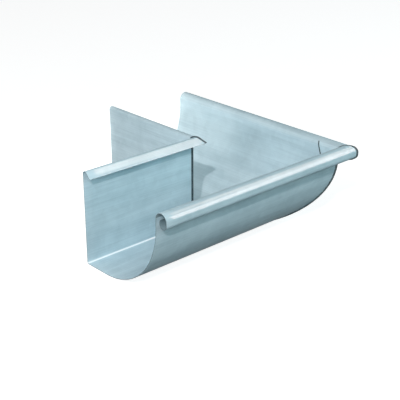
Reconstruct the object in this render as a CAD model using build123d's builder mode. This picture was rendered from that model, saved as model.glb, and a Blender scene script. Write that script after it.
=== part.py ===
from build123d import *
import math
import os

os.makedirs("parts", exist_ok=True)

# An external angle for a quarter-round gutter: two formed wings, mitred and soldered.
# Millimetres. The origin is the building's corner, where the outer faces of the two back
# walls would meet, level with the underside. The left wing runs along -X and the right
# wing along +Y. In a section, u is the distance out from the back wall and v the height.

# Overall sizes
leg_length = 148.0  # building corner to each open end
height = 106.0  # underside to the top of the back lip
width = 115.0  # outer face of the back wall to outer face of the front wall
sheet = 0.7  # thickness of the formed sheet

# Section of the formed sheet, all radii on the outside of the bend
lip_bend = 3.5  # turn at the top of the back wall
lip_slope = 45.0  # degrees that the lip falls towards the trough
lip_flat = 8.3  # straight part of the lip, past its bend
heel_bend = 2.0  # turn between back wall and bottom
sweep_radius = 81.5  # quarter round from the flat bottom up to the front
bead_height = 91.0  # height at which the front wall starts to roll over
bead_radius = 8.0  # upper half of the bead
bead_drop = 2.8  # short upright between the bead's two turns
curl_radius = 5.3  # lower, tighter turn of the bead
curl_turn = 225.0  # degrees that the lower turn comes round

# Solder run along the mitre
seam_width = 1.6  # gap between the two cut ends, filled with solder
seam_rise = 1.1  # how far the solder stands above the sheet

# Lap tab, turned round the corner onto the inside of the right wing's front wall
tab_length = 25.0  # from the front corner, level with the start of the bead
tab_taper = 18.0  # degrees that its free edge leans back towards the corner
tab_root = 4.0  # width of the strip that stays on the left wing
tab_curl = 40.0  # degrees that its top follows the bead
tab_sweep = 60.0  # degrees that it could follow the quarter round, before the taper ends it
solder_film = 0.1  # solder between the tab and the wall it lies on

# Planes
mitre = Plane(origin=(0, 0, 0), z_dir=(1, 1, 0))
left_cut = mitre.offset(-seam_width / 2)
root_cut = mitre.offset(-tab_root)
left_end = Plane(origin=(-leg_length, 0, 0), x_dir=(0, -1, 0), z_dir=(-1, 0, 0))
run_length = leg_length + width + 2 * bead_radius + seam_rise + sheet

# Centres of the section's turns
lip_centre = (lip_bend, height - lip_bend)
heel_centre = (heel_bend, heel_bend)
sweep_centre = (width - sweep_radius, sweep_radius)
bead_centre = (width - sheet + bead_radius, bead_height)
curl_centre = (bead_centre[0] + bead_radius - curl_radius, bead_height - bead_drop)


def draw_skin():
    """Draws the gutter's outer face, from the lip's free edge to the free edge of the bead."""
    lip_turn = CenterArc(lip_centre, lip_bend, 90 - lip_slope, 90 + lip_slope)
    PolarLine(lip_turn @ 0, lip_flat, -lip_slope)
    heel_turn = CenterArc(heel_centre, heel_bend, 180, 90)
    Line(lip_turn @ 1, heel_turn @ 0)
    sweep_turn = CenterArc(sweep_centre, sweep_radius, 270, 90)
    Line(heel_turn @ 1, sweep_turn @ 0)
    bead_turn = CenterArc(bead_centre, bead_radius - sheet, 180, -180)
    Line(sweep_turn @ 1, bead_turn @ 0)
    curl = CenterArc(curl_centre, curl_radius - sheet, 0, -curl_turn)
    Line(bead_turn @ 1, curl @ 0)


def draw_lap_skin(clearance):
    """Draws the lap's outer face, the clearance inside the trough face of the front wall."""
    inset = sheet + clearance
    low_turn = CenterArc(sweep_centre, sweep_radius - inset, -tab_sweep, tab_sweep)
    high_turn = CenterArc(bead_centre, bead_radius + clearance, 180, -tab_curl)
    Line(low_turn @ 1, high_turn @ 0)


# One wing as formed and mitred, before the tab
with BuildPart() as plain_wing:
    with BuildSketch(left_end) as wing_section:
        with BuildLine():
            draw_skin()
            offset(amount=sheet, side=Side.LEFT)
        make_face()
    extrude(amount=-run_length)
    split(bisect_by=left_cut, keep=Keep.BOTTOM)

# Strip of the left wing that is set in by one sheet and carries the tab
with BuildPart() as lap_root:
    with BuildSketch(left_end):
        with BuildLine():
            draw_lap_skin(0)
            offset(amount=sheet + solder_film, side=Side.LEFT)
        make_face()
    extrude(amount=-run_length)
    split(bisect_by=mitre, keep=Keep.BOTTOM)
    split(bisect_by=root_cut, keep=Keep.TOP)

# Free edge of the tab, leaning back towards the corner on its way down
tab_lean = math.radians(tab_taper)
tab_edge = Plane(
    origin=(0, tab_length - width, bead_height),
    x_dir=(1, 0, 0),
    z_dir=(0, math.cos(tab_lean), -math.sin(tab_lean)),
)

# Tab on the right wing's side of the mitre
with BuildPart() as lap_tab:
    with BuildSketch(left_end):
        with BuildLine():
            draw_lap_skin(solder_film)
            offset(amount=sheet, side=Side.LEFT)
        make_face()
    extrude(amount=-run_length)
    split(bisect_by=mitre, keep=Keep.BOTTOM)
    mirror(about=mitre, mode=Mode.REPLACE)
    split(bisect_by=tab_edge, keep=Keep.BOTTOM)

with BuildPart() as left_wing:
    add(plain_wing.part)
    add(lap_root.part)
    add(lap_tab.part)

with BuildPart() as right_wing:
    mirror(plain_wing.part, about=mitre)

# Solder in the mitre, standing proud of the sheet, and dressed flush with the underside
# and with the two faces that go against the building
with BuildPart() as corner_seam:
    with BuildSketch(left_end):
        add(wing_section.sketch_local)
        offset(amount=seam_rise)
    extrude(amount=-run_length)
    split(bisect_by=mitre, keep=Keep.BOTTOM)
    split(bisect_by=left_cut, keep=Keep.TOP)
    split(bisect_by=Plane.XY, keep=Keep.TOP)
    split(bisect_by=Plane.XZ, keep=Keep.TOP)
    mirror(about=mitre)
    add(lap_root.part, mode=Mode.SUBTRACT)
    add(lap_tab.part, mode=Mode.SUBTRACT)

left_wing.part.label = "left_wing"
right_wing.part.label = "right_wing"
corner_seam.part.label = "corner_seam"

export_step(left_wing.part, "parts/left_wing.step")
export_step(right_wing.part, "parts/right_wing.step")
export_step(corner_seam.part, "parts/corner_seam.step")
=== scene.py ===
"""Looks of a soldered outside corner for a quarter-round gutter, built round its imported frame."""
import logging
import math
from dataclasses import dataclass, field
from enum import Enum
from typing import Dict, Iterable, List, Optional, Sequence, Tuple, Union

import bmesh
import bpy
from bmesh.types import BMEdge, BMesh, BMVert
from bpy.types import Material, Node, NodeSocket, NodeTree
from mathutils import Matrix, Vector, noise


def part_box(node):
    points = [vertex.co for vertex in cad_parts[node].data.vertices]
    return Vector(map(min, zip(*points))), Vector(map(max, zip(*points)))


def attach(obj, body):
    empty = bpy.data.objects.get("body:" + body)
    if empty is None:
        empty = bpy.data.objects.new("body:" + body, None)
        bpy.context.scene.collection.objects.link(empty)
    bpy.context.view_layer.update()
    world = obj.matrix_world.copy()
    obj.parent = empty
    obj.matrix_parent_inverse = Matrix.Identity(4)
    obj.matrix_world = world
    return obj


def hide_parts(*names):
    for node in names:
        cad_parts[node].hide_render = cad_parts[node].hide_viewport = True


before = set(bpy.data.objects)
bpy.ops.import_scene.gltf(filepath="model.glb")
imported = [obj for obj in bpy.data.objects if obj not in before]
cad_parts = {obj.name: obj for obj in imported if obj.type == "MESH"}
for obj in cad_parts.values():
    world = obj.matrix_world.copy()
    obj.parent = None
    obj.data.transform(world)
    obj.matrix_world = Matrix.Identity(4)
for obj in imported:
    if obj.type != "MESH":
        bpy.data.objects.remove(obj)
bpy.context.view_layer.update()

LOG = logging.getLogger("gutter_angle")

Colour = Tuple[float, float, float]
Value = Union[float, Sequence[float], NodeSocket]

MM = 0.001
SAME = 1e-6  # places nearer to each other than this, in metres, count as one
ON_CUT = 1e-7  # points nearer to a cut than this aren't split from it
GIRTH = "girth"  # vertex layer: distance round the section
RUN_MAP = "run_map"  # UV map in metres: along the run, and round the section
ACROSS = Vector((1, 1, 0)).normalized()  # across the mitre, from the left wing to the right
OVER_MITRE = Matrix(((0, -1, 0, 0), (-1, 0, 0, 0), (0, 0, 1, 0), (0, 0, 0, 1)))


class Wing(Enum):
    """The angle's two wings. Everything is formed as the left one and mirrored to the right."""

    LEFT = "left_wing"
    RIGHT = "right_wing"

    def place(self, mesh: BMesh) -> None:
        """Moves a mesh made on the left wing to this wing.

        Args:
            mesh: the mesh, as it lies on the left wing.
        """
        if self is Wing.RIGHT:
            mesh.transform(OVER_MITRE)
            bmesh.ops.reverse_faces(mesh, faces=mesh.faces[:])


@dataclass(frozen=True)
class Straight:
    """A straight stretch of a section."""

    length: float


@dataclass(frozen=True)
class Turn:
    """A round stretch of a section. Positive degrees turn it towards the trough."""

    radius: float
    degrees: float


Step = Union[Straight, Turn]


@dataclass(frozen=True)
class Cut:
    """A flat saw cut. What lies in front of it is taken away."""

    point: Vector
    normal: Vector
    closed: bool = True

    def away(self, place: Vector) -> float:
        """Returns how far a place lies from the cut, on either side of it."""
        return abs((place - self.point).dot(self.normal.normalized()))

    def split(self, mesh: BMesh, clear: bool) -> None:
        """Splits a mesh's faces along the cut.

        Args:
            mesh: the mesh.
            clear: whether what lies in front of the cut is taken away.
        """
        everything = mesh.verts[:] + mesh.edges[:] + mesh.faces[:]
        bmesh.ops.bisect_plane(mesh, geom=everything, dist=ON_CUT, plane_co=self.point,
                               plane_no=self.normal, clear_outer=clear)


@dataclass(frozen=True)
class GutterSection:
    """Sizes of the formed sheet in metres, on the outside of each bend."""

    height: float
    width: float = 115 * MM
    sheet: float = 0.7 * MM
    lip_bend: float = 3.5 * MM
    lip_slope: float = 45.0
    lip_flat: float = 8.3 * MM
    heel_bend: float = 2 * MM
    sweep_radius: float = 81.5 * MM
    bead_height: float = 91 * MM
    bead_radius: float = 8 * MM
    bead_drop: float = 2.8 * MM
    curl_radius: float = 5.3 * MM
    curl_turn: float = 225.0

    def lip_edge(self) -> Tuple[float, float]:
        """Finds the lip's free edge.

        Returns:
            Its distance out and its height.
        """
        slope = math.radians(self.lip_slope)
        out = self.lip_bend * (1 + math.sin(slope)) + self.lip_flat * math.cos(slope)
        drop = self.lip_bend * (1 - math.cos(slope)) + self.lip_flat * math.sin(slope)
        return out, self.height - drop

    def steps(self) -> List[Step]:
        """Lists the outer face's stretches.

        Returns:
            The stretches, from the lip's free edge to the bead's.
        """
        return [
            Straight(self.lip_flat),
            Turn(self.lip_bend, 90 + self.lip_slope),
            Straight(self.height - self.lip_bend - self.heel_bend),
            Turn(self.heel_bend, 90),
            Straight(self.width - self.sweep_radius - self.heel_bend),
            Turn(self.sweep_radius, 90),
            Straight(self.bead_height - self.sweep_radius),
            Turn(self.bead_radius - self.sheet, -180),
            Straight(self.bead_drop),
            Turn(self.curl_radius - self.sheet, -self.curl_turn),
        ]

    def back_wall_girth(self) -> Tuple[float, float]:
        """Returns where the flat back wall starts and ends, measured round the section."""
        start = self.lip_flat + self.lip_bend * math.radians(90 + self.lip_slope)
        return start, start + self.height - self.lip_bend - self.heel_bend

    def heel_girth(self) -> float:
        """Returns where the middle of the heel's bend lies, measured round the section."""
        return self.back_wall_girth()[1] + self.heel_bend * math.radians(45)

    def bead_girth(self) -> float:
        """Finds where the front wall starts to roll over.

        Returns:
            The place, measured round the section.
        """
        flat = self.width - self.sweep_radius - self.heel_bend
        upright = self.bead_height - self.sweep_radius
        return (self.heel_girth() + self.heel_bend * math.radians(45) + flat
                + self.sweep_radius * math.radians(90) + upright)

    def bead_centre(self) -> Tuple[float, float]:
        """Returns the distance out and the height of the centre of the bead's upper half."""
        return self.width - self.sheet + self.bead_radius, self.bead_height

    def run_end(self) -> float:
        """Returns how far along X a strip runs to be past the mitre all round its section."""
        return self.width + 3 * self.bead_radius

    def wall_steps(self, inset: float, sweep: float, curl: float) -> List[Step]:
        """Lists the stretches of a layer that lies inside the front wall.

        Args:
            inset: how far the layer lies inside the wall's outer face.
            sweep: degrees of the quarter round that it follows, up to the front wall.
            curl: degrees of the bead that it follows, on from the front wall.

        Returns:
            The stretches, from the bottom up.
        """
        return [
            Turn(self.sweep_radius - inset, sweep),
            Straight(self.bead_height - self.sweep_radius),
            Turn(self.bead_radius - self.sheet + inset, -curl),
        ]

    def wall_start(self, inset: float, sweep: float) -> Tuple[float, float]:
        """Finds where wall_steps starts.

        Args:
            inset: how far the layer lies inside the wall's outer face.
            sweep: degrees of the quarter round that it follows, up to the front wall.

        Returns:
            The distance out and the height.
        """
        angle = math.radians(sweep)
        radius = self.sweep_radius - inset
        out = self.width - self.sweep_radius + radius * math.cos(angle)
        return out, self.sweep_radius - radius * math.sin(angle)


@dataclass
class FormedStrip:
    """A strip of metal bent to a section and drawn out along the left wing.

    The heading is the first stretch's direction in degrees: 0 is out, 90 is up. The pitches and
    the arc step are the longest stretch of mesh round the section, along the run, and in a turn.
    The shift sets the whole skin off its steps, away from the trough.
    """

    steps: Sequence[Step]
    start: Tuple[float, float]
    heading: float
    thickness: float
    run: Tuple[float, float]
    pitch: float = 5 * MM
    run_pitch: float = 12 * MM
    arc_step: float = 7.5
    shift: float = 0.0

    def form(self) -> BMesh:
        """Bends the section and draws it out.

        Returns:
            The strip's skin on the left wing, with its girth in a vertex layer.
        """
        mesh = bmesh.new()
        layer = mesh.verts.layers.float.new(GIRTH)
        self._bend(mesh)
        mesh.verts.ensure_lookup_table()
        for before, after in zip(mesh.verts[:], mesh.verts[1:]):
            after[layer] = before[layer] + (after.co - before.co).length
        self._draw_out(mesh)
        settle(mesh)
        return mesh

    def _bend(self, mesh: BMesh) -> None:
        """Bends a line of edges along the steps, at the start of the run.

        Args:
            mesh: an empty mesh to bend it in.
        """
        heading = math.radians(self.heading)
        left = Vector((0, math.sin(heading), math.cos(heading)))
        out, up = self.start
        tip = mesh.verts.new(Vector((self.run[0], -out, up)) - left * self.shift)
        for step in self.steps:
            along = Vector((0, -math.cos(heading), math.sin(heading)))
            left = Vector((0, math.sin(heading), math.cos(heading)))
            if isinstance(step, Straight):
                count = max(1, round(step.length / self.pitch))
                for _ in range(count):
                    tip = bmesh.ops.extrude_vert_indiv(mesh, verts=[tip])["verts"][0]
                    bmesh.ops.translate(mesh, verts=[tip], vec=along * step.length / count)
                continue
            side = math.copysign(1, step.degrees)
            radius = step.radius + side * self.shift
            angle = math.radians(step.degrees)
            count = max(2, math.ceil(abs(step.degrees) / self.arc_step),
                        math.ceil(abs(angle) * radius / self.pitch))
            made = bmesh.ops.spin(mesh, geom=[tip], cent=tip.co + left * side * radius,
                                  axis=(-1, 0, 0), dvec=(0, 0, 0), angle=angle, steps=count,
                                  use_duplicate=False)
            tip = next(item for item in made["geom_last"] if isinstance(item, BMVert))
            heading += angle

    def _draw_out(self, mesh: BMesh) -> None:
        """Draws the bent line out along the run.

        Args:
            mesh: the mesh that holds the bent line.
        """
        length = self.run[1] - self.run[0]
        count = max(1, round(length / self.run_pitch))
        edges = mesh.edges[:]
        for _ in range(count):
            made = bmesh.ops.extrude_edge_only(mesh, edges=edges)["geom"]
            verts = {item for item in made if isinstance(item, BMVert)}
            bmesh.ops.translate(mesh, verts=list(verts), vec=(length / count, 0, 0))
            edges = [item for item in made if isinstance(item, BMEdge)
                     and all(vert in verts for vert in item.verts)]

    def thicken(self, mesh: BMesh) -> None:
        """Gives the skin its thickness, on the trough side.

        Args:
            mesh: the skin.
        """
        bmesh.ops.recalc_face_normals(mesh, faces=mesh.faces[:])
        mesh.normal_update()
        lowest = min(mesh.faces, key=lambda face: face.calc_center_median().z)
        if lowest.normal.z < 0:
            bmesh.ops.reverse_faces(mesh, faces=mesh.faces[:])
        bmesh.ops.solidify(mesh, geom=mesh.faces[:], thickness=-self.thickness)
        settle(mesh)


def settle(mesh: BMesh) -> None:
    """Puts a mesh in one order, so that each run gives the same one. Operators leave it to chance.

    Args:
        mesh: the mesh. Handles to its layers have to be taken again.
    """
    keys = ((mesh.verts, lambda vert: tuple(vert.co)),
            (mesh.edges, lambda edge: sorted(vert.index for vert in edge.verts)),
            (mesh.faces, lambda face: sorted(vert.index for vert in face.verts)))
    for items, key in keys:
        places = {item: place for place, item in enumerate(sorted(items, key=key))}
        items.sort(key=places.get)
        items.index_update()
    data = bpy.data.meshes.new("settled")
    mesh.to_mesh(data)
    for edge in data.edges:
        edge.vertices = sorted(edge.vertices)
    for face in data.polygons:
        corners = [data.loops[index] for index in face.loop_indices]
        ends = [(corner.vertex_index, corner.edge_index) for corner in corners]
        first = ends.index(min(ends))
        for corner, end in zip(corners, ends[first:] + ends[:first]):
            corner.vertex_index, corner.edge_index = end
    mesh.clear()
    mesh.from_mesh(data)
    bpy.data.meshes.remove(data)


def close_holes(mesh: BMesh, rim: Sequence[BMEdge]) -> None:
    """Closes holes with triangles.

    Args:
        mesh: the mesh.
        rim: the edges round the holes.
    """
    caps = bmesh.ops.holes_fill(mesh, edges=rim, sides=0)["faces"]
    bmesh.ops.triangulate(mesh, faces=caps)
    settle(mesh)


def saw(mesh: BMesh, cuts: Iterable[Cut]) -> None:
    """Saws a mesh along flat cuts and closes what each one opens.

    Args:
        mesh: the mesh.
        cuts: the cuts, in order.
    """
    for cut in cuts:
        cut.split(mesh, clear=True)
        settle(mesh)
        if cut.closed:
            close_holes(mesh, [edge for edge in mesh.edges if edge.is_boundary
                               and all(cut.away(vert.co) < SAME for vert in edge.verts)])


def merge(meshes: Sequence[BMesh]) -> BMesh:
    """Joins meshes where they meet.

    Args:
        meshes: the meshes. All are freed.

    Returns:
        One mesh, with vertices that coincide made one.
    """
    whole = bmesh.new()
    for mesh in meshes:
        data = bpy.data.meshes.new("part")
        mesh.to_mesh(data)
        mesh.free()
        whole.from_mesh(data)
        bpy.data.meshes.remove(data)
    bmesh.ops.remove_doubles(whole, verts=whole.verts[:], dist=SAME)
    settle(whole)
    return whole


def soften(mesh: BMesh, width: float, least: float = 50.0, segments: int = 2,
           keep: Optional[Cut] = None) -> None:
    """Takes the sharpness off a mesh's hard edges.

    Args:
        mesh: the mesh.
        width: width of the bevel.
        least: the least angle in degrees between two faces that counts as hard.
        segments: how many steps round the edge.
        keep: a cut whose edges stay hard.
    """
    mesh.normal_update()
    hard = [edge for edge in mesh.edges
            if len(edge.link_faces) == 2 and math.degrees(edge.calc_face_angle(0)) > least
            and (keep is None or all(keep.away(vert.co) >= 10 * SAME for vert in edge.verts))]
    bmesh.ops.bevel(mesh, geom=hard, offset=width, offset_type="OFFSET", segments=segments,
                    profile=0.5, affect="EDGES", material=-1, clamp_overlap=True)
    settle(mesh)


def write_run_map(mesh: BMesh, wing: Wing) -> None:
    """Writes a UV map in metres: along the run, and round the section.

    Args:
        mesh: the mesh, in place, with its girth in a vertex layer.
        wing: the wing that it follows.
    """
    layer = mesh.verts.layers.float[GIRTH]
    uv = mesh.loops.layers.uv.new(RUN_MAP)
    for face in mesh.faces:
        for loop in face.loops:
            place = loop.vert.co
            along = place.x if wing is Wing.LEFT else -place.y
            loop[uv].uv = (along, loop.vert[layer])


def add_object(name: str, data: bpy.types.ID) -> bpy.types.Object:
    """Adds an object to the scene.

    Args:
        name: the object's name.
        data: its mesh, lamp or camera.

    Returns:
        The new object.
    """
    item = bpy.data.objects.new(name, data)
    bpy.context.scene.collection.objects.link(item)
    return item


def finish_piece(mesh: BMesh, name: str, materials: Sequence[Material],
                 smooth: float = 35.0) -> bpy.types.Object:
    """Turns a mesh into a piece of the object that rides on its body.

    Args:
        mesh: the finished mesh, in the row frame. It is freed.
        name: the piece's name.
        materials: its materials, in slot order.
        smooth: edges sharper than this, in degrees, stay hard.

    Returns:
        The new object.
    """
    bmesh.ops.recalc_face_normals(mesh, faces=mesh.faces[:])
    mesh.normal_update()
    for face in mesh.faces:
        face.smooth = True
    for edge in mesh.edges:
        edge.smooth = len(edge.link_faces) == 2 and math.degrees(edge.calc_face_angle(0)) < smooth
    opened = sum(1 for edge in mesh.edges if not edge.is_manifold)
    data = bpy.data.meshes.new(name)
    mesh.to_mesh(data)
    mesh.free()
    piece = add_object(name, data)
    for material in materials:
        data.materials.append(material)
    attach(piece, "root")
    low, high = ([round(pick(vert.co[axis] for vert in data.vertices) / MM, 2)
                  for axis in range(3)] for pick in (min, max))
    LOG.info("%s: %d faces, %d open edges, from %s to %s mm", name, len(data.polygons), opened,
             low, high)
    return piece


def rgba(colour: Colour) -> Tuple[float, float, float, float]:
    """Returns a colour with full alpha, as a colour socket takes it."""
    return (*colour, 1.0)


class Nodes:
    """Short hand for building a node tree."""

    def __init__(self, tree: NodeTree) -> None:
        """Starts on a tree.

        Args:
            tree: the node tree to add to.
        """
        self.tree = tree

    def add(self, kind: str, inputs: Optional[Dict[Union[int, str], Value]] = None,
            **settings: object) -> Node:
        """Adds a node.

        Args:
            kind: the node's type name, without the leading ShaderNode.
            inputs: socket name or number to a value, or to a socket to link from.
            settings: attributes of the node.

        Returns:
            The node.
        """
        node = self.tree.nodes.new(kind if kind.startswith("Node") else "ShaderNode" + kind)
        for key, value in settings.items():
            setattr(node, key, value)
        for key, value in (inputs or {}).items():
            if isinstance(value, NodeSocket):
                self.link(value, node, key)
            else:
                node.inputs[key].default_value = value
        return node

    def link(self, source: NodeSocket, node: Node, key: Union[int, str]) -> None:
        """Links a socket to a node's input."""
        self.tree.links.new(source, node.inputs[key])

    def maths(self, operation: str, first: Value, second: Value = 0.0) -> NodeSocket:
        """Returns the result of a Math node on two values or sockets."""
        return self.add("Math", {0: first, 1: second}, operation=operation).outputs[0]

    def mix(self, share: Value, first: Value, second: Value) -> NodeSocket:
        """Returns a mix of two colours, with a share of the second one."""
        return self.add("Mix", {"Factor": share, "A": first, "B": second},
                        data_type="RGBA").outputs[2]

    def spread(self, value: Value, low: float, high: float, to_low: float,
               to_high: float) -> NodeSocket:
        """Returns a value mapped from one range to another, clamped."""
        return self.add("MapRange", {"Value": value, "From Min": low, "From Max": high,
                                     "To Min": to_low, "To Max": to_high}).outputs[0]

    def place(self) -> NodeSocket:
        """Returns the piece's Object coordinates."""
        return self.add("TexCoord").outputs["Object"]

    def seen(self) -> NodeSocket:
        """Finds which rays show a surface: the camera's, and those of gloss and glass.

        Returns:
            1 for such a ray, and 0 for one that only lights.
        """
        path = self.add("LightPath").outputs
        shown = self.maths("MAXIMUM", path["Is Glossy Ray"], path["Is Transmission Ray"])
        return self.maths("MAXIMUM", path["Is Camera Ray"], shown)


def new_group(name: str, inputs: Sequence[Tuple[str, str, float]],
              outputs: Sequence[str]) -> Tuple[Nodes, Node, Node]:
    """Starts a shader node group with named sockets.

    Args:
        name: the group's name.
        inputs: name, kind (Float or Vector) and default of each input.
        outputs: name of each output. All are floats.

    Returns:
        The node short hand, the input node and the output node.
    """
    tree = bpy.data.node_groups.new(name, "ShaderNodeTree")
    for label, kind, default in inputs:
        socket = tree.interface.new_socket(label, in_out="INPUT", socket_type="NodeSocket" + kind)
        if kind == "Float":
            socket.default_value = default
    for label in outputs:
        tree.interface.new_socket(label, in_out="OUTPUT", socket_type="NodeSocketFloat")
    nodes = Nodes(tree)
    return nodes, nodes.add("NodeGroupInput"), nodes.add("NodeGroupOutput")


@dataclass
class Effects:
    """Surface effects that the finishes share, each a node group made once."""

    streaks: NodeTree = field(init=False)
    cloud: NodeTree = field(init=False)
    scuffs: NodeTree = field(init=False)

    def __post_init__(self) -> None:
        """Builds the groups."""
        self.streaks = self._rolled_streaks()
        self.cloud = self._oxide_cloud()
        self.scuffs = self._handling_scuffs()

    @staticmethod
    def _rolled_streaks() -> NodeTree:
        """Builds the fine streaks that rolling leaves along a strip.

        Returns:
            The group. Along and Across are streaks to the metre, the Band is a broader one.
        """
        nodes, source, result = new_group(
            "rolled_streaks",
            [("Run", "Vector", 0), ("Along", "Float", 12), ("Across", "Float", 700),
             ("Seed", "Float", 0)],
            ["Streak", "Band"])
        split = nodes.add("SeparateXYZ", {0: source.outputs["Run"]}).outputs
        along = nodes.maths("MULTIPLY", split[0], source.outputs["Along"])
        across = nodes.maths("MULTIPLY", split[1], source.outputs["Across"])
        place = nodes.add("CombineXYZ", {0: along, 1: across, 2: source.outputs["Seed"]})
        fine = nodes.add("TexNoise", {"Vector": place.outputs[0], "Scale": 1.0, "Detail": 3.0,
                                      "Roughness": 0.6}, noise_dimensions="3D")
        wide = nodes.add("VectorMath", {0: place.outputs[0], 1: (0.6, 0.12, 1.0)},
                         operation="MULTIPLY")
        broad = nodes.add("TexNoise", {"Vector": wide.outputs[0], "Scale": 1.0, "Detail": 2.0},
                          noise_dimensions="3D")
        nodes.link(fine.outputs["Fac"], result, "Streak")
        nodes.link(broad.outputs["Fac"], result, "Band")
        return nodes.tree

    @staticmethod
    def _oxide_cloud() -> NodeTree:
        """Builds the soft clouding and faint crystals of a zinc surface.

        Returns:
            The group. Size and Crystal are clouds and crystals to the metre.
        """
        nodes, source, result = new_group(
            "oxide_cloud",
            [("Vector", "Vector", 0), ("Size", "Float", 30), ("Crystal", "Float", 150)],
            ["Cloud", "Crystals"])
        cloud = nodes.add("TexNoise", {"Vector": source.outputs["Vector"],
                                       "Scale": source.outputs["Size"], "Detail": 4.0,
                                       "Roughness": 0.55, "Distortion": 0.4})
        cells = nodes.add("TexVoronoi", {"Vector": source.outputs["Vector"],
                                         "Scale": source.outputs["Crystal"]}, feature="F1")
        tone = nodes.add("SeparateColor", {0: cells.outputs["Color"]})
        nodes.link(cloud.outputs["Fac"], result, "Cloud")
        nodes.link(tone.outputs[0], result, "Crystals")
        return nodes.tree

    @staticmethod
    def _handling_scuffs() -> NodeTree:
        """Builds the sparse hairline scuffs left by handling.

        Returns:
            The group. Density is lines to the metre, and Amount is how much shows.
        """
        nodes, source, result = new_group(
            "handling_scuffs",
            [("Vector", "Vector", 0), ("Density", "Float", 90), ("Amount", "Float", 0.5)],
            ["Scuff"])
        place = source.outputs["Vector"]
        bent = nodes.add("TexNoise", {"Vector": place, "Scale": 14.0, "Detail": 2.0})
        mixed = nodes.add("VectorMath", {0: place, 1: bent.outputs["Color"],
                                         2: (0.06, 0.06, 0.06)}, operation="MULTIPLY_ADD")
        turned = nodes.add("Mapping", {"Vector": mixed.outputs[0], "Rotation": (0.5, 0.9, 0.4),
                                       "Scale": (1.0, 0.06, 1.0)})
        lines = nodes.add("TexVoronoi", {"Vector": turned.outputs[0],
                                         "Scale": source.outputs["Density"]},
                          feature="DISTANCE_TO_EDGE")
        thin = nodes.spread(lines.outputs["Distance"], 0.0, 0.02, 1.0, 0.0)
        patch = nodes.add("TexNoise", {"Vector": place, "Scale": 25.0, "Detail": 1.0})
        where = nodes.spread(patch.outputs["Fac"], 0.55, 0.75, 0.0, 1.0)
        found = nodes.maths("MULTIPLY", thin, where)
        nodes.link(nodes.maths("MULTIPLY", found, source.outputs["Amount"]), result, "Scuff")
        return nodes.tree


def new_material(name: str) -> Nodes:
    """Starts a material with an empty node tree.

    Args:
        name: the material's name.

    Returns:
        The node short hand.
    """
    material = bpy.data.materials.new(name)
    material.use_nodes = True
    material.node_tree.nodes.clear()
    return Nodes(material.node_tree)


def start_finish(name: str, metallic: float) -> Tuple[Nodes, Node]:
    """Starts a finish.

    Args:
        name: the material's name.
        metallic: how metallic it is, all over.

    Returns:
        The node short hand and the Principled shader, linked to the output.
    """
    nodes = new_material(name)
    shader = nodes.add("BsdfPrincipled", {"Metallic": metallic})
    nodes.add("OutputMaterial", {"Surface": shader.outputs[0]})
    return nodes, shader


@dataclass(frozen=True)
class SheetFinish:
    """Pale blue-grey zinc-coated sheet, satin, streaked along the run, with a painted highlight
    along its heel bend.

    The shares say how much each pattern counts in the tone, which runs from deep to pale over
    the tone range. A painted highlight lies along the heel bend for a distance round its middle,
    fading at the end.
    """

    heel: float
    name: str = "zinc_sheet"
    pale: Colour = (0.59, 0.745, 0.805)
    deep: Colour = (0.455, 0.60, 0.66)
    streak_share: float = 0.30
    band_share: float = 0.35
    cloud_share: float = 0.30
    crystal_share: float = 0.05
    tone_range: Tuple[float, float] = (0.39, 0.61)
    scuffed: Colour = (0.75, 0.85, 0.9)
    scuffing: float = 0.25
    # Painted highlight along the heel bend: its colour, share and reach round the section.
    heel_highlight_colour: Colour = (0.90, 0.97, 1.0)
    heel_highlight_share: float = 0.85
    heel_highlight_round: Tuple[float, float] = (1.1 * MM, 2.0 * MM)
    metallic: float = 0.1
    specular: float = 0.0
    roughness: float = 0.13
    roughness_spread: float = 0.03
    relief: float = 0.12
    relief_depth: float = 0.15 * MM

    def material(self, effects: Effects) -> Material:
        """Builds the material.

        Args:
            effects: the shared surface effects.

        Returns:
            The material.
        """
        nodes, shader = start_finish(self.name, self.metallic)
        shader.inputs["Specular IOR Level"].default_value = self.specular
        run = nodes.add("UVMap", uv_map=RUN_MAP).outputs[0]
        place = nodes.place()
        streak = nodes.add("Group", {"Run": run}, node_tree=effects.streaks).outputs
        cloud = nodes.add("Group", {"Vector": place}, node_tree=effects.cloud).outputs
        scuff = nodes.add("Group", {"Vector": place}, node_tree=effects.scuffs).outputs
        total: Value = 0.0
        for pattern, share in ((streak["Streak"], self.streak_share),
                               (streak["Band"], self.band_share),
                               (cloud["Cloud"], self.cloud_share),
                               (cloud["Crystals"], self.crystal_share)):
            total = nodes.maths("ADD", total, nodes.maths("MULTIPLY", pattern, share))
        tone = nodes.spread(total, *self.tone_range, 0.0, 1.0)
        rolled = nodes.mix(tone, rgba(self.deep), rgba(self.pale))
        scuffing = nodes.maths("MULTIPLY", scuff["Scuff"], self.scuffing)
        handled = nodes.mix(scuffing, rolled, rgba(self.scuffed))
        # Painted highlight: a paler colour along the heel bend stands in for light caught there.
        nodes.link(nodes.mix(self._painted_heel_highlight(nodes, run), handled, rgba(self.heel_highlight_colour)),
                   shader, "Base Color")
        nodes.link(nodes.spread(total, 0.3, 0.7, self.roughness + self.roughness_spread,
                                self.roughness - self.roughness_spread), shader, "Roughness")
        height = nodes.maths("ADD", nodes.maths("MULTIPLY", streak["Streak"], 0.5),
                             nodes.maths("MULTIPLY", cloud["Cloud"], 2.0))
        bump = nodes.add("Bump", {"Height": height, "Strength": self.relief,
                                  "Distance": self.relief_depth})
        nodes.link(bump.outputs[0], shader, "Normal")
        return bpy.data.materials[self.name]

    def _painted_heel_highlight(self, nodes: Nodes, run: NodeSocket) -> NodeSocket:
        """Finds the share of the painted highlight along the heel bend.

        Args:
            nodes: the material's node short hand.
            run: the run map.

        Returns:
            The share of the painted highlight colour.
        """
        girth = nodes.add("SeparateXYZ", {0: run}).outputs[1]
        away = nodes.maths("ABSOLUTE", nodes.maths("SUBTRACT", girth, self.heel))
        return nodes.spread(away, *self.heel_highlight_round, self.heel_highlight_share, 0.0)


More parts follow.
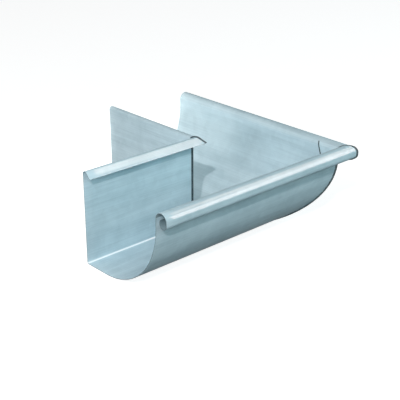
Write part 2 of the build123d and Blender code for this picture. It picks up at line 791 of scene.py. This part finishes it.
@dataclass(frozen=True)
class DullFinish:
    """Dull metal, darker than the sheet's coated faces: by default a bare sheared edge, and also
    the painted shade inside the bead.
    """

    name: str = "cut_edge"
    colour: Colour = (0.13, 0.20, 0.225)
    darkest: float = 0.8
    metallic: float = 0.4
    roughness: float = 0.4
    cloud_size: float = 120.0
    crystal_size: float = 700.0

    def material(self, effects: Effects) -> Material:
        """Builds the material.

        Args:
            effects: the shared surface effects.

        Returns:
            The material.
        """
        nodes, shader = start_finish(self.name, self.metallic)
        shader.inputs["Roughness"].default_value = self.roughness
        cloud = nodes.add("Group", {"Vector": nodes.place(), "Size": self.cloud_size,
                                    "Crystal": self.crystal_size}, node_tree=effects.cloud)
        dark = tuple(self.darkest * part for part in self.colour)
        colour = nodes.mix(cloud.outputs["Cloud"], rgba(dark), rgba(self.colour))
        nodes.link(colour, shader, "Base Color")
        return bpy.data.materials[self.name]


@dataclass(frozen=True)
class SolderFinish:
    """Dark, dull solder with a slightly uneven skin."""

    name: str = "dark_solder"
    pale: Colour = (0.085, 0.125, 0.14)
    deep: Colour = (0.03, 0.05, 0.057)
    tone_range: Tuple[float, float] = (0.35, 0.68)
    metallic: float = 0.3
    roughness: float = 0.5
    roughness_spread: float = 0.1
    cloud_size: float = 260.0
    crystal_size: float = 900.0
    relief: float = 0.5
    relief_depth: float = 0.3 * MM

    def material(self, effects: Effects) -> Material:
        """Builds the material.

        Args:
            effects: the shared surface effects.

        Returns:
            The material.
        """
        nodes, shader = start_finish(self.name, self.metallic)
        cloud = nodes.add("Group", {"Vector": nodes.place(), "Size": self.cloud_size,
                                    "Crystal": self.crystal_size}, node_tree=effects.cloud)
        tone = nodes.spread(cloud.outputs["Cloud"], *self.tone_range, 0.0, 1.0)
        nodes.link(nodes.mix(tone, rgba(self.deep), rgba(self.pale)), shader, "Base Color")
        nodes.link(nodes.spread(tone, 0, 1, self.roughness + self.roughness_spread,
                                self.roughness - self.roughness_spread), shader, "Roughness")
        bump = nodes.add("Bump", {"Height": cloud.outputs["Cloud"], "Strength": self.relief,
                                  "Distance": self.relief_depth})
        nodes.link(bump.outputs[0], shader, "Normal")
        return bpy.data.materials[self.name]


@dataclass
class WingSheet:
    """One formed wing: lip, back wall, flat bottom, quarter round, front wall and bead.

    The wave is the most that the back wall swells into the trough. It dies out over wave_free
    towards the corner. A face turned to the bead's middle by more than the cosine in facing
    lies inside the bead.
    """

    section: GutterSection
    wing: Wing
    leg: float
    seam_width: float
    wave: float = 0.18 * MM
    wave_length: float = 55 * MM
    wave_free: float = 30 * MM
    facing: float = 0.3
    edge_round: float = 0.12 * MM

    def build(self) -> BMesh:
        """Forms the wing and cuts its mitre.

        Returns:
            The wing's mesh, in place, with its run map.
        """
        section = self.section
        strip = FormedStrip(steps=section.steps(), start=section.lip_edge(),
                            heading=180 - section.lip_slope, thickness=section.sheet,
                            run=(-self.leg, section.run_end()))
        mesh = strip.form()
        self._relax_back_wall(mesh)
        strip.thicken(mesh)
        self._mark_bead_painted_shade(mesh)
        self._mark_cut_edges(mesh)
        mitre = Cut(point=-ACROSS * self.seam_width / 2, normal=ACROSS)
        saw(mesh, [mitre])
        soften(mesh, self.edge_round, keep=mitre)
        self.wing.place(mesh)
        write_run_map(mesh, self.wing)
        return mesh

    def _relax_back_wall(self, mesh: BMesh) -> None:
        """Gives the flat back wall the slight waves that a thin sheet has, into the trough.

        Args:
            mesh: the skin, before it has its thickness.
        """
        low, high = self.section.back_wall_girth()
        layer = mesh.verts.layers.float[GIRTH]
        for vert in mesh.verts:
            share = (vert[layer] - low) / (high - low)
            if not 0 < share < 1:
                continue
            free = min(1.0, max(0.0, -vert.co.x / self.wave_free))
            hold = math.sin(math.pi * share) ** 2 * free
            swell = 0.5 + 0.5 * noise.noise(vert.co / self.wave_length)
            vert.co.y -= self.wave * hold * swell

    def _mark_bead_painted_shade(self, mesh: BMesh) -> None:
        """Gives the faces inside the bead the third material, a darker colour painted as shade
        there.

        Args:
            mesh: the wing with its thickness, before the mitre is cut.
        """
        section = self.section
        out = section.bead_centre()[0] + section.bead_radius - section.curl_radius
        middle = Vector((0, -out, section.bead_height - section.bead_drop / 2))
        layer = mesh.verts.layers.float[GIRTH]
        bmesh.ops.recalc_face_normals(mesh, faces=mesh.faces[:])
        for face in mesh.faces:
            toward = middle - face.calc_center_median()
            toward.x = 0
            rolled = min(vert[layer] for vert in face.verts) > section.bead_girth() - SAME
            # These faces get the darker colour that is painted as shade inside the bead.
            if rolled and toward.normalized().dot(face.normal) > self.facing:
                face.material_index = 2

    def _mark_cut_edges(self, mesh: BMesh) -> None:
        """Gives the sheared edges of the sheet the second material.

        Args:
            mesh: the wing with its thickness, before the mitre is cut.
        """
        layer = mesh.verts.layers.float[GIRTH]
        girth = max(vert[layer] for vert in mesh.verts)
        for face in mesh.faces:
            places = [vert[layer] for vert in face.verts]
            at_end = all(vert.co.x < SAME - self.leg for vert in face.verts)
            if at_end or max(places) < SAME or min(places) > girth - SAME:
                face.material_index = 1


@dataclass
class LapTab:
    """The tab turned round the corner onto the inside of the right wing's front wall.

    It lies on a film of solder, and is sunk into the wall's face so that no gap shows. The
    taper is in degrees, as are the parts of the quarter round and the bead that it follows.
    """

    section: GutterSection
    length: float = 25 * MM
    taper: float = 18.0
    root: float = 4 * MM
    curl: float = 40.0
    sweep: float = 60.0
    film: float = 0.1 * MM
    sunk: float = 0.03 * MM
    pitch: float = 2 * MM
    run_pitch: float = 4 * MM
    edge_round: float = 0.12 * MM

    def edge_cut(self, ahead: float = 0.0) -> Cut:
        """Finds the tab's free edge as a cut on the left wing, before it is mirrored.

        Args:
            ahead: how far the cut lies past the edge.

        Returns:
            The cut.
        """
        lean = math.radians(self.taper)
        normal = Vector((-math.cos(lean), 0, -math.sin(lean)))
        point = Vector((self.section.width - self.length, 0, self.section.bead_height))
        return Cut(point=point + normal * ahead, normal=normal)

    def layer(self, thickness: float, pitch: float) -> BMesh:
        """Forms a layer on the inside of the left front wall, past the mitre.

        Args:
            thickness: how far it stands off the wall.
            pitch: the longest stretch between two points of its section.

        Returns:
            Its closed mesh, not yet cut.
        """
        inset = self.section.sheet - self.sunk
        strip = FormedStrip(steps=self.section.wall_steps(inset, self.sweep, self.curl),
                            start=self.section.wall_start(inset, self.sweep),
                            heading=90 - self.sweep, thickness=thickness + self.sunk,
                            run=(0.0, self.section.run_end()), pitch=pitch,
                            run_pitch=self.run_pitch)
        mesh = strip.form()
        strip.thicken(mesh)
        return mesh

    def build(self) -> BMesh:
        """Forms the tab: a strip on the left wing and a taper on the right one, joined.

        Returns:
            The tab's mesh, in place, with its run map.
        """
        thickness = self.film + self.section.sheet
        mitre = Cut(point=Vector(), normal=ACROSS, closed=False)
        free_edge = self.edge_cut()
        right = self.layer(thickness, self.pitch)
        saw(right, [free_edge, mitre])
        Wing.RIGHT.place(right)
        left = self.layer(thickness, self.pitch)
        saw(left, [Cut(point=-ACROSS * self.root, normal=-ACROSS)])
        free_edge.split(left, clear=False)
        saw(left, [mitre])
        whole = merge([left, right])
        close_holes(whole, [edge for edge in whole.edges if edge.is_boundary])
        soften(whole, self.edge_round)
        write_run_map(whole, Wing.RIGHT)
        return whole


@dataclass
class TabSolder:
    """The thin run of solder that seals the tab's free edge to the right wing's front wall.

    It reaches under the tab a little, and up the edge to the rise, a share of the sheet.
    """

    tab: LapTab
    width: float = 1.7 * MM
    under: float = 0.2 * MM
    rise: float = 0.9
    pitch: float = 1.5 * MM
    skin_round: float = 0.3 * MM

    def build(self) -> BMesh:
        """Forms the solder.

        Returns:
            Its mesh, in place.
        """
        tab = self.tab
        mesh = tab.layer(tab.film + self.rise * tab.section.sheet, self.pitch)
        near = tab.edge_cut(-self.under)
        saw(mesh, [tab.edge_cut(self.width), Cut(point=near.point, normal=-near.normal),
                   Cut(point=Vector(), normal=ACROSS)])
        soften(mesh, self.skin_round, least=60.0, segments=3)
        Wing.RIGHT.place(mesh)
        return mesh


@dataclass
class MitreSolder:
    """The run of solder that fills the mitre, rounded where it stands proud.

    Over the bead it was wiped down by a share of its rise. The wipe is given by turns in
    degrees round the bead's centre, from straight out over the crown to the trough side.
    """

    section: GutterSection
    width: float
    rise: float = 1.1 * MM
    pitch: float = 1.2 * MM
    run_pitch: float = 40 * MM
    arc_step: float = 9.0
    rounding: float = 0.45
    wiped: float = 0.88
    wipe_from: float = 50.0
    wipe_in: float = 35.0
    wipe_to: float = 180.0
    wipe_out: float = 30.0

    def build(self) -> BMesh:
        """Forms the solder.

        Returns:
            Its mesh, in place.
        """
        section = self.section
        strip = FormedStrip(steps=section.steps(), start=section.lip_edge(),
                            heading=180 - section.lip_slope,
                            thickness=section.sheet + 2 * self.rise,
                            run=(-4 * section.bead_radius, section.run_end()), pitch=self.pitch,
                            run_pitch=self.run_pitch, arc_step=self.arc_step, shift=self.rise)
        mesh = strip.form()
        strip.thicken(mesh)
        side = Cut(point=-ACROSS * self.width / 2, normal=-ACROSS)
        floor = Cut(point=Vector(), normal=Vector((0, 0, -1)))
        building = Cut(point=Vector(), normal=Vector((0, 1, 0)))
        middle = Cut(point=Vector(), normal=ACROSS, closed=False)
        saw(mesh, [side, floor, building, middle])
        other = mesh.copy()
        Wing.RIGHT.place(other)
        whole = merge([mesh, other])
        soften(whole, self.rounding * self.width, least=60.0, segments=3)
        self._wipe(whole)
        return whole

    def _wipe(self, mesh: BMesh) -> None:
        """Lowers the solder over the bead's crown and trough side, where it was wiped.

        Args:
            mesh: the solder's mesh, in place.
        """
        radius = self.section.bead_radius
        centre = Vector(self.section.bead_centre())
        outermost = radius + 1.5 * self.rise
        for vertex in mesh.verts:
            reach = Vector((max(-vertex.co.y, vertex.co.x), vertex.co.z)) - centre
            turn = math.degrees(math.atan2(reach.y, reach.x))
            if turn < self.wipe_from or not radius < reach.length < outermost:
                continue
            share = (min(1.0, (turn - self.wipe_from) / self.wipe_in)
                     * min(1.0, (self.wipe_to - turn) / self.wipe_out))
            move = -reach.normalized() * (reach.length - radius) * self.wiped * share
            vertex.co += Vector((move.x, -move.x, move.y))


@dataclass
class GutterAngle:
    """The whole soldered angle, sized from its frame."""

    seam_width: float = 1.6 * MM
    section: GutterSection = field(init=False)
    leg: float = field(init=False)

    def __post_init__(self) -> None:
        """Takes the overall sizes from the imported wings."""
        low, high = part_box("left_wing")
        self.section = GutterSection(height=high[2])
        self.leg = -low[0]

    def build(self, effects: Effects) -> None:
        """Builds and dresses every piece.

        Args:
            effects: the shared surface effects.
        """
        sheet = SheetFinish(self.section.heel_girth()).material(effects)
        edge = DullFinish().material(effects)
        # Painted shade: a darker colour on the faces inside the bead stands in for the shadow
        # there.
        inside = DullFinish("bead_inside", colour=(0.26, 0.37, 0.41), metallic=0.1,
                            roughness=0.5).material(effects)
        solder = SolderFinish().material(effects)
        for wing in Wing:
            mesh = WingSheet(self.section, wing, self.leg, self.seam_width).build()
            piece = finish_piece(mesh, wing.value + "_sheet", [sheet, edge, inside])
            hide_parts(wing.value)
        tab = LapTab(self.section)
        finish_piece(tab.build(), "lap_tab", [sheet])
        finish_piece(TabSolder(tab).build(), "tab_solder", [solder], smooth=60.0)
        seam = finish_piece(MitreSolder(self.section, self.seam_width).build(), "mitre_solder",
                            [solder], smooth=60.0)
        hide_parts("corner_seam")


@dataclass(frozen=True)
class StudioFloor:
    """The pale floor that the object stands on.

    What is seen of it glows and catches the object's shadow. What lights the object from it is
    only the faint bounce.
    """

    name: str = "studio_floor"
    radius: float = 6.0
    segments: int = 64
    glow: float = 0.86
    catching: Colour = (0.42, 0.42, 0.42)
    bouncing: Colour = (0.05, 0.07, 0.08)

    def build(self) -> None:
        """Lays the floor."""
        mesh = bmesh.new()
        bmesh.ops.create_circle(mesh, cap_ends=True, segments=self.segments, radius=self.radius)
        data = bpy.data.meshes.new(self.name)
        mesh.to_mesh(data)
        mesh.free()
        floor = add_object(self.name, data)
        nodes = new_material(self.name)
        bounce = nodes.add("BsdfDiffuse", {"Color": rgba(self.bouncing)})
        caught = nodes.add("BsdfDiffuse", {"Color": rgba(self.catching)})
        glow = nodes.add("Emission", {"Color": (1, 1, 1, 1), "Strength": self.glow})
        shown = nodes.add("AddShader", {0: caught.outputs[0], 1: glow.outputs[0]})
        both = nodes.add("MixShader", {0: nodes.seen(), 1: bounce.outputs[0], 2: shown.outputs[0]})
        nodes.add("OutputMaterial", {"Surface": both.outputs[0]})
        data.materials.append(bpy.data.materials[self.name])


@dataclass(frozen=True)
class Lamp:
    """A studio lamp that faces the origin: round, or a tall panel where it has a height.

    Toward is the direction to it and level is how bright it makes a white face turned to it at
    the origin. A lamp lights the object, shines in its gloss, or both.
    """

    name: str
    toward: Tuple[float, float, float]
    distance: float
    size: float
    level: float
    tint: Colour = (1.0, 1.0, 1.0)
    height: float = 0.0
    lights: bool = True
    shines: bool = False

    def place(self) -> None:
        """Sets the lamp up."""
        lamp = bpy.data.lights.new(self.name, "AREA")
        lamp.shape = "RECTANGLE" if self.height else "DISK"
        lamp.size = self.size
        lamp.size_y = self.height or self.size
        lamp.energy = self.level * (math.pi * self.distance) ** 2
        lamp.color = self.tint
        holder = add_object(self.name, lamp)
        toward = Vector(self.toward).normalized()
        holder.location = toward * self.distance
        holder.rotation_mode = "QUATERNION"
        holder.rotation_quaternion = toward.to_track_quat("Z", "Y")
        holder.visible_camera = False
        holder.visible_diffuse = self.lights
        holder.visible_glossy = self.shines


@dataclass(frozen=True)
class Studio:
    """Lamps, world and camera, as the photo was lit and seen.

    The azimuth is the camera's heading in degrees from +Y towards +X, and the elevation is how
    far it looks down. The focal length is in pixels of the photo's frame.
    """

    lamps: Tuple[Lamp, ...] = (
        Lamp("key", toward=(-0.61, -0.525, 0.594), distance=3.0, size=0.06, level=0.40,
             tint=(1.0, 0.90, 0.90)),
        Lamp("fill", toward=(-0.58, -0.64, 0.50), distance=2.6, size=2.2, level=0.23,
             tint=(0.82, 1.0, 1.0)),
        Lamp("front", toward=(0.62, -0.66, 0.42), distance=2.2, size=1.2, level=0.43,
             tint=(0.66, 0.95, 1.0)),
        Lamp("building", toward=(-0.63, 0.76, 0.12), distance=1.2, size=0.5, level=0.10),
        Lamp("left_end", toward=(-0.40, -0.04, 0.20), distance=0.449, size=0.10, level=0.26,
             tint=(0.95, 0.97, 1.0)),
        Lamp("right_end", toward=(0.0, 0.40, 0.12), distance=0.418, size=0.12, level=0.68,
             tint=(1.0, 0.96, 0.92)),
        Lamp("panel", toward=(0.62, -0.715, 0.32), distance=2.2, size=1.3, height=1.45,
             level=0.9, tint=(1.0, 0.63, 0.54), lights=False, shines=True),
        Lamp("upper_panel", toward=(0.62, -0.25, 0.74), distance=2.2, size=1.2, level=0.35,
             tint=(1.0, 0.58, 0.45), lights=False, shines=True),
    )
    sky: Colour = (0.8, 0.95, 1.0)
    sky_strength: float = 0.02
    surround: float = 1.0
    azimuth: float = 42.53
    elevation: float = 23.61
    focal_pixels: float = 947.0
    frame_pixels: float = 400.0
    sensor: float = 36.0
    aim: Tuple[float, float, float] = (1.6 * MM, -13.0 * MM, 33.4 * MM)
    distance: float = 1.0724
    clip: Tuple[float, float] = (0.01, 50.0)

    def light(self) -> None:
        """Sets the lamps, and a world that lights softly and is seen as white."""
        for lamp in self.lamps:
            lamp.place()
        world = bpy.data.worlds.new("soft_sky")
        world.use_nodes = True
        world.node_tree.nodes.clear()
        nodes = Nodes(world.node_tree)
        sky = nodes.add("Background", {"Color": rgba(self.sky), "Strength": self.sky_strength})
        white = nodes.add("Background", {"Color": (1, 1, 1, 1), "Strength": self.surround})
        both = nodes.add("MixShader", {0: nodes.seen(), 1: sky.outputs[0], 2: white.outputs[0]})
        nodes.add("OutputWorld", {"Surface": both.outputs[0]})
        bpy.context.scene.world = world
        bpy.context.scene.view_settings.view_transform = "Standard"

    def shoot(self) -> None:
        """Sets the camera at the photo's viewing angle."""
        camera = bpy.data.cameras.new("camera")
        camera.sensor_width = self.sensor
        camera.lens = self.focal_pixels / self.frame_pixels * self.sensor
        camera.clip_start, camera.clip_end = self.clip
        turn, tilt = math.radians(self.azimuth), math.radians(self.elevation)
        forward = Vector((math.sin(turn) * math.cos(tilt), math.cos(turn) * math.cos(tilt),
                          -math.sin(tilt)))
        holder = add_object("camera", camera)
        holder.location = Vector(self.aim) - forward * self.distance
        holder.rotation_mode = "QUATERNION"
        holder.rotation_quaternion = forward.to_track_quat("-Z", "Y")
        bpy.context.scene.camera = holder


def main() -> None:
    """Builds the angle, its floor and its lighting."""
    logging.basicConfig(level=logging.INFO, format="%(name)s: %(message)s")
    GutterAngle().build(Effects())
    StudioFloor().build()
    studio = Studio()
    studio.light()
    studio.shoot()


if __name__ == "__main__":
    main()
